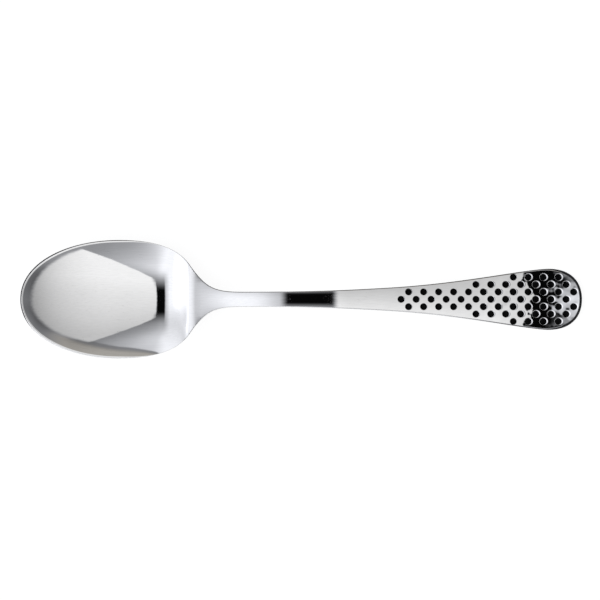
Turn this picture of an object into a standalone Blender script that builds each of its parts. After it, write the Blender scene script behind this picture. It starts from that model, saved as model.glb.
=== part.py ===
"""Dessert spoon: one forged stainless blank whose handle is set with round dots of black enamel.

The spoon lies as on a table, with its bowl towards -X, its handle towards +X and its top up.
A station is a distance along the spoon from the tip of the bowl.
"""

import math
from collections import namedtuple

import bmesh
import bpy
import numpy as np
from mathutils import Matrix, Vector
from mathutils.geometry import interpolate_bezier

MM = 0.001

# Plan of the blank
OVERALL_LENGTH = 186.0 * MM
BOWL_LENGTH = 57.0 * MM  # tip to the ridge where the bowl ends
BOWL_WIDTH = 39.2 * MM
BOWL_WIDEST = 32.5 * MM  # station of the widest place
RIDGE_WIDTH = 19.4 * MM
NECK_RUN = 16.0 * MM  # ridge to the narrowest place of the neck
NECK_WIDTH = 4.9 * MM
BLADE_WIDTH = 7.8 * MM  # width where the dotted half of the handle begins
HANDLE_WIDTH = 20.3 * MM
END_ROUND = 11.0 * MM  # widest place of the handle to its end

# Heights above the table
TIP_HEIGHT = 11.8 * MM
HEEL_RUN = 12.4 * MM  # start of the heel, where the bowl's floor turns up, to the ridge
HEEL_DROP = 0.1 * MM  # the floor still falls by this past the start of the heel
DEEPEST_RUN = 10.3 * MM  # deepest place of the bowl to the ridge
RIDGE_HEIGHT = 7.0 * MM
STEEPEST_RUN = 12.6 * MM  # ridge to the steepest place of the neck
STEEPEST_RISE = 1.85 * MM  # of that place over the ridge
CREST_RUN = 23.0 * MM  # narrowest place of the neck to the crest of the handle
CREST_HEIGHT = 12.2 * MM
REST_FROM_END = 15.0 * MM  # where the handle touches the table
END_LIFT = 1.8 * MM  # the end of the handle turns up by this
REST_FLAT = 0.15 * MM  # the two places that touch are dressed flat by this

# Thickness of the metal, measured upright
BOWL_THICKNESS = 1.4 * MM
RIM_THICKNESS = 1.5 * MM
RIDGE_EDGE = 2.2 * MM
NECK_THICKNESS = 3.2 * MM
CREST_THICKNESS = 3.0 * MM
HANDLE_THICKNESS = 2.3 * MM
RIM_RADIUS = 0.55 * MM
NECK_RADIUS = 1.35 * MM
END_RADIUS = 0.85 * MM
CROWN_RADIUS = 140.0 * MM  # across the top of the handle
BELLY_RADIUS = 220.0 * MM  # across its underside
BOWL_FULLNESS = 2.2  # power of the curve across the bowl, where 2 is a parabola

# Enamel dots, on a staggered grid that is measured from the end of the handle
DOT_DIAMETER = 2.1 * MM
DOT_PITCH = 5.0 * MM
DOT_COLUMNS = 12
DOT_END_GAP = 5.3 * MM  # last dot of the middle row to the end of the handle
DOT_EDGE_GAP = 2.8 * MM  # outermost row to the widest place of the handle's edge
DOT_LEAD = 3.0 * MM  # start of the dotted half to its first dot
DOT_ROWS = ((0, 0, 12), (1, 0, 12), (2, 5, 12), (3, 7, 11))  # row, first column, end column
POCKET_DEPTH = 0.9 * MM
LIP_WIDTH = 0.42 * MM  # the pocket's mouth flares by this
LIP_DEPTH = 0.32 * MM
FILL_DISH = 0.12 * MM  # the fill sinks by this to its middle
BOND_GAP = 0.05 * MM  # round the fill, which is bonded in its pocket
DOT_SIDES = 12
CUT_ABOVE = 0.15 * MM  # how far a pocket's cutter stands out of the metal

# Colour, roughness and metallic share of the two materials
STEEL = ((0.74, 0.74, 0.75), 0.12, 1.0)
ENAMEL = ((0.008, 0.008, 0.009), 0.15, 0.0)

# Mesh steps
OUTLINE_STEPS = (12, 10, 8, 8, 17, 9)  # between neighbouring knots of the outline
TOP_STEPS = 6
EDGE_STEPS = 2
UNDER_STEPS = 5
CURVE_STEPS = 60  # fine enough to read a height from
PROBE = 0.1 * MM
MERGE = 0.005 * MM
TABLE_CUT = 5.0 * MM  # depth of the block that dresses the resting places flat

NECK = BOWL_LENGTH + NECK_RUN
CREST = NECK + CREST_RUN
HEEL = BOWL_LENGTH - HEEL_RUN
DEEPEST = BOWL_LENGTH - DEEPEST_RUN
REST = OVERALL_LENGTH - REST_FROM_END
BLADE_LENGTH = DOT_LEAD + (DOT_COLUMNS - 1) * DOT_PITCH + DOT_END_GAP
ROW_PITCH = (HANDLE_WIDTH / 2 - DOT_EDGE_GAP) / DOT_ROWS[-1][0]

# A point that a smooth curve passes: heading in degrees, and how far its two handles reach as
# shares of the way to its neighbours
Knot = namedtuple("Knot", "along value heading back ahead")

OUTLINE = (
    Knot(0, 0, 90, 0, 0.64),
    Knot(BOWL_WIDEST, BOWL_WIDTH / 2, 0, 0.51, 0.80),
    Knot(BOWL_LENGTH, RIDGE_WIDTH / 2, -52, 0.14, 0.46),
    Knot(NECK, NECK_WIDTH / 2, 0, 0.57, 0.42),
    Knot(OVERALL_LENGTH - BLADE_LENGTH, BLADE_WIDTH / 2, 3.5, 0.34, 0.46),
    Knot(OVERALL_LENGTH - END_ROUND, HANDLE_WIDTH / 2, 0, 0.13, 0.70),
    Knot(OVERALL_LENGTH, 0, -90, 0.58, 0),
)
BOWL_MIDLINE = (
    Knot(0, TIP_HEIGHT, -22.5, 0, 0.30),
    Knot(HEEL, BOWL_THICKNESS + HEEL_DROP, -5.2, 0.30, 0.51),
    Knot(BOWL_LENGTH, RIDGE_HEIGHT, 61, 0.46, 0),
)
HANDLE_MIDLINE = (
    Knot(BOWL_LENGTH, RIDGE_HEIGHT, 6.4, 0, 0.33),
    Knot(BOWL_LENGTH + STEEPEST_RUN, RIDGE_HEIGHT + STEEPEST_RISE, 12.3, 0.33, 0.33),
    Knot(CREST, CREST_HEIGHT, 0, 0.45, 0.42),
    Knot(REST, HANDLE_THICKNESS - REST_FLAT, 0, 0.30, 0.33),
    Knot(OVERALL_LENGTH, HANDLE_THICKNESS + END_LIFT, 14, 0.33, 0),
)


def direction(heading):
    angle = math.radians(heading)
    return Vector((math.cos(angle), math.sin(angle)))


def curve_points(knots, steps):
    """Points of the smooth curve through the knots, with steps[i] parts from knot i to the next."""
    points = []
    for start, end, count in zip(knots, knots[1:], steps):
        first = Vector((start.along, start.value))
        last = Vector((end.along, end.value))
        leave = direction(start.heading)
        arrive = direction(end.heading)
        chord = last - first
        first_handle = first + leave * chord.dot(leave) * start.ahead
        last_handle = last - arrive * chord.dot(arrive) * end.back
        piece = interpolate_bezier(first, first_handle, last_handle, last, count + 1)
        points += piece[1:] if points else piece
    return points


def read_curve(knots):
    """A function that gives the curve's value at a station."""
    points = curve_points(knots, [CURVE_STEPS] * (len(knots) - 1))
    stations = [point.x for point in points]
    values = [point.y for point in points]
    return lambda station: float(np.interp(station, stations, values))


half_width = read_curve(OUTLINE)
bowl_midline = read_curve(BOWL_MIDLINE)
handle_midline = read_curve(HANDLE_MIDLINE)


def midline(station):
    """Height of the top surface along the middle of the spoon."""
    return bowl_midline(station) if station < BOWL_LENGTH else handle_midline(station)


def make_bowl_belly():
    """The underside along the middle, from the tip to the neck, where it runs along with the top."""
    rise = handle_midline(NECK + PROBE) - handle_midline(NECK - PROBE)
    heading = math.degrees(math.atan2(rise, 2 * PROBE))
    return read_curve(
        (
            Knot(0, TIP_HEIGHT - RIM_THICKNESS, -22, 0, 0.30),
            Knot(DEEPEST, -REST_FLAT, 0, 0.23, 0.22),
            Knot(NECK, midline(NECK) - NECK_THICKNESS, heading, 0.58, 0),
        )
    )


bowl_belly = make_bowl_belly()


def belly(station):
    """Height of the underside along the middle of the spoon."""
    if station < NECK:
        return bowl_belly(station)
    stations = (NECK, CREST, REST)
    return midline(station) - float(
        np.interp(station, stations, (NECK_THICKNESS, CREST_THICKNESS, HANDLE_THICKNESS))
    )


def rim_height(station):
    return TIP_HEIGHT + (RIDGE_HEIGHT - TIP_HEIGHT) * station / BOWL_LENGTH


def rim_thickness(station):
    return float(np.interp(station, (DEEPEST, BOWL_LENGTH), (RIM_THICKNESS, RIDGE_EDGE)))


def edge_radius(station):
    stations = (DEEPEST, NECK, CREST, REST)
    return float(np.interp(station, stations, (RIM_RADIUS, NECK_RADIUS, NECK_RADIUS, END_RADIUS)))


def bowl_share(station):
    """1 along the bowl, falling smoothly to 0 at the neck."""
    way = min(max((station - BOWL_LENGTH) / NECK_RUN, 0), 1)
    return 1 - way * way * (3 - 2 * way)


def across_share(station, across):
    return min(abs(across) / max(half_width(station), PROBE), 1) ** BOWL_FULLNESS


def top_height(station, across):
    """The top surface: hollow in the bowl, gently crowned along the handle."""
    rise = max(rim_height(station) - midline(station), 0) if station < BOWL_LENGTH else 0
    crown = (1 - bowl_share(station)) * across**2 / (2 * CROWN_RADIUS)
    return midline(station) + rise * across_share(station, across) - crown


def under_height(station, across):
    """The underside: it follows the bowl, and is nearly flat along the handle."""
    at_bowl = min(station, BOWL_LENGTH)
    rise = rim_height(at_bowl) - rim_thickness(at_bowl) - belly(at_bowl)
    belly_rise = (1 - bowl_share(station)) * across**2 / (2 * BELLY_RADIUS)
    return belly(station) + bowl_share(station) * rise * across_share(station, across) + belly_rise


def surface_point(station, across, inset, side):
    """A point of the blank: side is 1 on top and -1 below, inset is the distance to the outline."""
    top = top_height(station, across)
    under = under_height(station, across)
    way_in = min(inset / edge_radius(station), 1)
    roundness = math.sqrt(1 - (1 - way_in) ** 2)
    height = (top + under) / 2 + side * roundness * (top - under) / 2
    return Vector((station - OVERALL_LENGTH / 2, across, height))


def half_section(outline, index):
    """Points round one half of the blank, from the middle of its top to the middle of its underside."""
    edge = outline[index]
    before = outline[max(index - 1, 0)]
    after = outline[min(index + 1, len(outline) - 1)]
    along = (after - before).normalized()
    if index in (0, len(outline) - 1):
        along = direction(OUTLINE[0 if index == 0 else -1].heading)
    inward = Vector((along.y, -along.x))
    radius = edge_radius(edge.x)
    inner = edge + inward * radius
    points = []
    for step in range(TOP_STEPS):
        points.append(surface_point(inner.x, inner.y * step / TOP_STEPS, radius, 1))
    for step in range(-EDGE_STEPS, EDGE_STEPS + 1):
        inset = radius * (1 - math.cos(step / EDGE_STEPS * math.pi / 2))
        place = edge + inward * inset
        points.append(surface_point(place.x, max(place.y, 0), inset, -1 if step > 0 else 1))
    for step in reversed(range(UNDER_STEPS)):
        points.append(surface_point(inner.x, inner.y * step / UNDER_STEPS, radius, -1))
    return points


def dot_places():
    """Name, station and distance from the middle of each enamel dot."""
    first = OVERALL_LENGTH - DOT_END_GAP - (DOT_COLUMNS - 1) * DOT_PITCH
    outermost = DOT_ROWS[-1][0]
    for row, start, end in DOT_ROWS:
        for side in (1, -1) if row else (1,):
            letter = chr(ord("A") + outermost - side * row)
            for column in range(start, end):
                station = first + (column + row % 2 / 2) * DOT_PITCH
                name = f"enamel_dot_{letter}{column - start + 1:02d}"
                yield name, station, side * row * ROW_PITCH


def dot_matrix(station, across):
    """Places a dot on the handle's top, with its axis square to the metal."""
    along_rise = top_height(station + PROBE, across) - top_height(station - PROBE, across)
    across_rise = top_height(station, across + PROBE) - top_height(station, across - PROBE)
    normal = Vector((-along_rise, -across_rise, 2 * PROBE))
    place = Vector((station - OVERALL_LENGTH / 2, across, top_height(station, across)))
    return Matrix.Translation(place) @ normal.to_track_quat("Z", "Y").to_matrix().to_4x4()


def clear_scene():
    for obj in list(bpy.data.objects):
        bpy.data.objects.remove(obj)


def make_collection(name):
    collection = bpy.data.collections.new(name)
    bpy.context.scene.collection.children.link(collection)
    return collection


def make_material(name, colour, roughness, metallic):
    material = bpy.data.materials.new(name)
    material.use_nodes = True
    shader = material.node_tree.nodes["Principled BSDF"]
    shader.inputs["Base Color"].default_value = (*colour, 1)
    shader.inputs["Roughness"].default_value = roughness
    shader.inputs["Metallic"].default_value = metallic
    return material


def make_blank(collection, material, cutters):
    """The steel blank: a half sheet wrapped round the sections, mirrored, then cut."""
    outline = curve_points(OUTLINE, OUTLINE_STEPS)
    sections = [half_section(outline, index) for index in range(len(outline))]
    rows = len(sections) - 1
    columns = len(sections[0]) - 1
    sheet = bmesh.new()
    bmesh.ops.create_grid(sheet, x_segments=rows, y_segments=columns, size=1)
    for vertex in sheet.verts:
        row = round((vertex.co.x + 1) / 2 * rows)
        column = round((vertex.co.y + 1) / 2 * columns)
        vertex.co = sections[row][column]
    bmesh.ops.remove_doubles(sheet, verts=sheet.verts, dist=MERGE)
    mesh = bpy.data.meshes.new("spoon_body")
    sheet.to_mesh(mesh)
    sheet.free()
    mesh.shade_smooth()
    mesh.materials.append(material)
    body = bpy.data.objects.new("spoon_body", mesh)
    collection.objects.link(body)
    mirror = body.modifiers.new("other_half", "MIRROR")
    mirror.use_axis = (False, True, False)
    mirror.merge_threshold = MERGE
    cut = body.modifiers.new("pockets_and_flats", "BOOLEAN")
    cut.operand_type = "COLLECTION"
    cut.collection = cutters
    return body


def make_table_cutter():
    """A block just under the table, which dresses the two resting places flat."""
    size = Vector((OVERALL_LENGTH, BOWL_WIDTH, TABLE_CUT))
    block = bmesh.new()
    centre = Matrix.Translation((0, 0, -TABLE_CUT / 2))
    bmesh.ops.create_cube(block, size=1, matrix=centre @ Matrix.Diagonal(size).to_4x4())
    mesh = bpy.data.meshes.new("table")
    block.to_mesh(mesh)
    block.free()
    return bpy.data.objects.new("table", mesh)


def make_profile(name, points):
    """A mesh that holds one half of a turned shape's outline, from the top of its axis to the bottom."""
    mesh = bpy.data.meshes.new(name)
    edges = [(index, index + 1) for index in range(len(points) - 1)]
    mesh.from_pydata([(radius, 0, height) for radius, height in points], edges, [])
    return mesh


def add_turned(collection, name, profile, matrix):
    turned = bpy.data.objects.new(name, profile)
    turned.matrix_world = matrix
    collection.objects.link(turned)
    screw = turned.modifiers.new("turn", "SCREW")
    screw.steps = screw.render_steps = DOT_SIDES
    screw.use_merge_vertices = True
    screw.merge_threshold = MERGE
    return turned


def pocket_profile():
    bore = DOT_DIAMETER / 2
    flare = LIP_WIDTH / LIP_DEPTH
    mouth = bore + LIP_WIDTH + flare * CUT_ABOVE
    points = (
        (0, CUT_ABOVE),
        (mouth, CUT_ABOVE),
        (bore, -LIP_DEPTH),
        (bore, -POCKET_DEPTH),
        (0, -POCKET_DEPTH),
    )
    return make_profile("pocket", points)


def fill_profile():
    radius = DOT_DIAMETER / 2 - BOND_GAP
    floor = -POCKET_DEPTH + BOND_GAP
    points = ((0, -LIP_DEPTH - FILL_DISH), (radius, -LIP_DEPTH), (radius, floor), (0, floor))
    return make_profile("enamel_dot", points)


def main():
    clear_scene()
    spoon = make_collection("dessert_spoon")
    cutters = make_collection("cutters")
    cutters.hide_render = True
    cutters.objects.link(make_table_cutter())
    steel = make_material("polished_steel", *STEEL)
    enamel = make_material("black_enamel", *ENAMEL)
    pocket = pocket_profile()
    fill = fill_profile()
    fill.materials.append(enamel)
    body = make_blank(spoon, steel, cutters)
    for name, station, across in dot_places():
        matrix = dot_matrix(station, across)
        add_turned(cutters, f"pocket_for_{name}", pocket, matrix)
        dot = add_turned(spoon, name, fill, matrix)
        dot.parent = body
    for cutter in cutters.objects:
        cutter.hide_render = True
        cutter.display_type = "WIRE"


main()
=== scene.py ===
"""Dessert spoon with a dotted handle: the fine surface, finishes and studio, as a Blender add-on.

A station is a distance along the spoon from the tip of its bowl, across is the distance from its
middle line, and inset is the distance from its outline.
"""

import math
from collections import namedtuple

import bpy
import numpy as np
from bpy.props import FloatProperty, FloatVectorProperty, PointerProperty
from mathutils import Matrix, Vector
from mathutils.geometry import delaunay_2d_cdt


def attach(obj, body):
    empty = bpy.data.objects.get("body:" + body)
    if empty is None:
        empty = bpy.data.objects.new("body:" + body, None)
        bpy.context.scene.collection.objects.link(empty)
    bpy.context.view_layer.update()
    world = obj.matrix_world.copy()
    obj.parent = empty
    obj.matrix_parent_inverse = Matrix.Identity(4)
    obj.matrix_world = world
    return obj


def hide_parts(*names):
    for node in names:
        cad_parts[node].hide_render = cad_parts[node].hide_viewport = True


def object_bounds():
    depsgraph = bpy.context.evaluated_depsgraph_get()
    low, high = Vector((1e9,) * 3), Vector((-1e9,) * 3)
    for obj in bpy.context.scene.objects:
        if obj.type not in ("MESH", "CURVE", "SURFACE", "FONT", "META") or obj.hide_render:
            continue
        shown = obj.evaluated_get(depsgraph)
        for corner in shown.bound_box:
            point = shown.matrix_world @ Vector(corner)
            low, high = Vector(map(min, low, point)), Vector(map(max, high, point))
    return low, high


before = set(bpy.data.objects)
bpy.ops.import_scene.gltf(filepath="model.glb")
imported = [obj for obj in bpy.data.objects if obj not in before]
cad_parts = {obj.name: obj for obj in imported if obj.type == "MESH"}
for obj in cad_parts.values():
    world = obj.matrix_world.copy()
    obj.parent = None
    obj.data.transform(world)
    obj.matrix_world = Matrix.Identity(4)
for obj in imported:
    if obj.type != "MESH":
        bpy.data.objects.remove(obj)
CAD_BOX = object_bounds()

bl_info = {
    "name": "Dotted dessert spoon",
    "version": (1, 0, 0),
    "blender": (4, 5, 0),
    "location": "View3D > Sidebar > Spoon",
    "description": "Builds a polished steel dessert spoon with enamel dots, and a studio to show it in",
    "category": "Add Mesh",
}

MM = 0.001
BODY = "root"
STEEL_NODE = "spoon_body"
LENGTH, BOWL_WIDTH, TOTAL_HEIGHT = np.subtract(CAD_BOX[1], CAD_BOX[0])
FLOOR_REACH = 3.0  # half the side of the floor
FLOOR_GAP = 0.05 * MM  # keeps it clear of the flats that the spoon rests on
SIGHT = 20.0  # how far the camera sees
BLACK, WHITE = (0, 0, 0, 1), (1, 1, 1, 1)

# Mesh steps
CURVE_STEPS = 4000  # along each stretch of a curve that heights are read from
OUTLINE_STEP = 0.42 * MM
OUTLINE_SKIP = 6  # distances from the outline are taken to one in this many of its points
NEARBY = 6 * MM  # how far along the spoon the outline or the ridge counts as near
FACE_STEP = 0.7 * MM
UNDER_STEP = 0.8 * MM
FOOT_GAP = 0.3  # least gap between a row's ends and the foot of the edge, in steps
RIDGE_STEP = 0.12 * MM
RIDGE_SHIFT = 0.5 * MM  # from the ridge to the middle of the band of fine rows
RIDGE_BAND = 2 * MM  # half width of that band
RIDGE_FADE = 6  # beyond it, the rows lie further apart by one part in this many of the way
CURL_STEPS = 9  # rings round the outer curl of the edge
CURL_WALL = 3  # of these, the steep outermost ones
LAND_STEPS = 4  # rings across the land inside it
DOT_SIDES = 32
LIP_STEPS = 7
PROBE = 0.04 * MM  # half the way that slopes are taken over
SAME_PLACE = 1e-7  # places nearer than this many millimetres are one

# Edge, where a pair says at which stations a change begins and is complete
TIP_CHANGE = (6 * MM, 22 * MM)  # from the fuller edge of the tip
SLOPE_CHANGE = (3 * MM, 24 * MM)  # from the steeper land of the tip
BACK_CHANGE = (31 * MM, 47 * MM)  # to the narrower edge of the bowl's back
HANDLE_CHANGE = (-6 * MM, 9 * MM)  # to the handle's edge, measured from the ridge
END_CHANGE = (1 * MM, -4 * MM)  # to the end's edge, measured from the rest and from the end
BACK_LOSS = 0.82  # how much narrower the edge of the bowl's back is
RIM_CURL, TIP_CURL = 0.27 * MM, 0.22 * MM  # width of the bowl's curl, and what its tip adds
RIM_DROP, TIP_DROP = 0.6 * MM, 0.5 * MM  # drop of that curl, and what the tip adds
RIM_BEVEL, TIP_BEVEL = 0.6, 0.15  # how steeply it begins, and what the tip adds
HANDLE_CURLS = (0.25 * MM, 0.25 * MM, 0.28 * MM, 0.4 * MM)  # at the neck, crest, blade and rest
HANDLE_DROPS = (0.5 * MM, 0.5 * MM, 0.5 * MM, 0.65 * MM)  # at the same places
HANDLE_BEVEL, END_BEVEL = 0.2, 0.6  # and what the end adds
END_CURL, END_DROP = 0.55 * MM, 1.15 * MM  # what the end adds to curl and drop
HANDLE_LAND = 0.05 * MM
UNDER_CURL = 0.6 * MM  # width of the curl under the bowl
LEAST_UPRIGHT = 0.03  # keeps the outermost fall of a curl finite
CREASE = 0.04 * MM  # width of the crisp inner edge of the bowl's land
LAND_SLOPE = 0.2  # fall of the land towards the bowl at its tip
SIDE_SLOPE = 0.04  # the same along the bowl's sides
LAND_LEAN = 0.04  # how much more than the rim the land leans towards the handle

# Bores and the enamel in them
DOT_ROWS = ((0, 0, 12), (1, 0, 12), (2, 5, 12), (3, 7, 11))  # row, first column, end column
DOT_END = 5.3 * MM  # from the last dot of the middle row to the end
DOT_SIDE = 2.8 * MM  # from the outermost rows to the edge where the handle is widest
BORE_DEPTH = 0.85 * MM
BORE_EDGE = 0.008 * MM  # width of the crisp edge of each bore
LIP_DEPTH = 0.45  # drop of each dished mouth, as a share of its mean width
LIP_ACROSS = 0.5  # its width across the spoon, as a share of that along it
LIP_DRAG = np.array((0.45, 0.2))  # how far polishing has dragged it along and across, in the same way
LEAST_WORN = 0.45  # how much of the full lip the bores nearest the neck have
WORN_CHANGE = (24 * MM, 37 * MM)  # from there to the full lip, measured from the blade
MOUTH_MARGIN = 0.2 * MM  # least steel between a mouth and the outline
RING_GAP = 0.08 * MM  # least gap between a mouth and the rings of the edge
FACE_GAP = 0.2 * MM  # least gap between a mouth and the rows of the face
FILL_GAP = 0.015 * MM  # between a fill and its bore
FILL_LEVEL = 0.33 * MM  # from the steel down to the rim of a fill
FILL_DEPTH = 0.84 * MM  # from the steel down to its bottom
FILL_SHOULDER = 0.06 * MM

# Wear of the polish, which is 1 on the outline
EDGE_LOSS = 0.7  # how much less it is at the inner side of the edge
FOOT_WEAR = 0.2
UNDER_WEAR = 0.5
LIP_WEAR = 0.4
SHOULDER_WEAR = 0.5

# A point that a smooth curve passes: heading in degrees, and how far its two handles reach as
# shares of the way to its neighbours
Knot = namedtuple("Knot", "along value heading back ahead")
# Width, drop and bevel of the curl round the edge, the land inside it, and the bowl's share in them
Edge = namedtuple("Edge", "curl drop bevel land bowl")
# A bore's place, and the centre, half length and narrowness of its worn mouth
Bore = namedtuple("Bore", "station across centre mouth narrow")


def length_prop(name, description, default):
    return FloatProperty(name=name, description=description, default=default, unit="LENGTH", precision=5)


def share_prop(name, description, default, top=1.0):
    return FloatProperty(
        name=name, description=description, default=default, min=0, max=top, subtype="FACTOR"
    )


def colour_prop(name, description, default):
    return FloatVectorProperty(
        name=name, description=description, default=default, min=0, max=1, subtype="COLOR"
    )


class SpoonShape(bpy.types.PropertyGroup):
    """Sizes of the spoon"""

    length: length_prop("Length", "Tip of the bowl to the end of the handle", LENGTH)
    bowl_length: length_prop("Bowl length", "Tip to the ridge where the bowl ends", 57.0 * MM)
    bowl_width: length_prop("Bowl width", "At its widest place", BOWL_WIDTH)
    ridge_width: length_prop("Ridge width", "Width of the spoon at the ridge", 19.4 * MM)
    neck_run: length_prop("Neck run", "Ridge to the narrowest place of the neck", 16.0 * MM)
    neck_width: length_prop("Neck width", "At its narrowest place", 4.9 * MM)
    blade_width: length_prop("Blade width", "Where the dotted half of the handle begins", 7.8 * MM)
    handle_width: length_prop("Handle width", "At its widest place", 20.3 * MM)
    tip_height: length_prop("Tip height", "Rim of the tip over the table", 11.8 * MM)
    ridge_height: length_prop("Ridge height", "Ridge over the table", 7.0 * MM)
    crest_height: length_prop("Crest height", "Highest place of the handle over the table", TOTAL_HEIGHT)
    thickness: length_prop("Handle thickness", "Metal of the dotted half", 2.3 * MM)
    land: length_prop("Rim land", "Width of the polished land round the bowl", 0.48 * MM)
    dot_diameter: length_prop("Dot diameter", "Bore that the enamel fills, over its worn edge", 2.26 * MM)
    dot_pitch: length_prop("Dot pitch", "Between the dots of a row", 5.0 * MM)
    lip: length_prop("Lip", "Mean width of the dished mouth of each bore", 0.33 * MM)


class SteelFinish(bpy.types.PropertyGroup):
    """Finish of the steel"""

    colour: colour_prop("Colour", "Reflected colour of the polished steel", (0.86, 0.86, 0.865))
    roughness: share_prop("Roughness", "Mean roughness of the polish", 0.035)
    streaks: share_prop("Polish streaks", "How far lengthwise polishing tilts the surface", 0.008, 0.2)
    scratches: share_prop("Scratches", "Strength of the fine wear scratches", 0.05)
    dents: share_prop("Dents", "How far boring has tilted the steel between the dots", 0.22)


class EnamelFinish(bpy.types.PropertyGroup):
    """Finish of the enamel"""

    colour: colour_prop("Colour", "Colour of the enamel", (0.002, 0.002, 0.0022))
    roughness: share_prop("Roughness", "Mean roughness of the enamel", 0.22)
    dish: length_prop("Dish", "How far the fill sinks to its middle", 0.12 * MM)


class StudioSettings(bpy.types.PropertyGroup):
    """Light, floor and camera"""

    light: FloatProperty(name="Light", description="Strength of the soft panels", default=1.22, min=0)
    floor: colour_prop("Floor", "Colour of the floor", (0.9, 0.9, 0.9))
    lens: FloatProperty(name="Lens", description="Focal length in millimetres", default=200.0, min=1)
    camera_height: length_prop("Camera height", "Over the table", 1.1103)
    camera_x: length_prop("Camera along", "Place of the camera along the spoon", -0.7 * MM)
    camera_y: length_prop("Camera across", "Place of the camera across the spoon", -0.23 * MM)


def heading_vector(heading):
    angle = math.radians(heading)
    return np.array((math.cos(angle), math.sin(angle)))


def curve_points(knots):
    """Points of the smooth curve through the knots, close together."""
    share = np.linspace(0, 1, CURVE_STEPS)[:, None]
    weights = ((1 - share) ** 3, 3 * share * (1 - share) ** 2, 3 * share**2 * (1 - share), share**3)
    pieces = []
    for start, end in zip(knots, knots[1:]):
        first = np.array((start.along, start.value))
        last = np.array((end.along, end.value))
        leave = heading_vector(start.heading)
        arrive = heading_vector(end.heading)
        chord = last - first
        first_handle = first + leave * chord.dot(leave) * start.ahead
        last_handle = last - arrive * chord.dot(arrive) * end.back
        corners = (first, first_handle, last_handle, last)
        pieces.append(sum(weight * corner for weight, corner in zip(weights, corners)))
    return np.concatenate(pieces)


def ease(value, low, high):
    """0 below low, 1 above high, smooth between."""
    way = np.clip((value - low) / (high - low), 0, 1)
    return way * way * (3 - 2 * way)


def soft_min(first, second, reach):
    near = np.maximum(reach - np.abs(first - second), 0) / reach
    return np.minimum(first, second) - near * near * reach / 4


def unit(vectors):
    return vectors / np.linalg.norm(vectors, axis=-1, keepdims=True)


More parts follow.
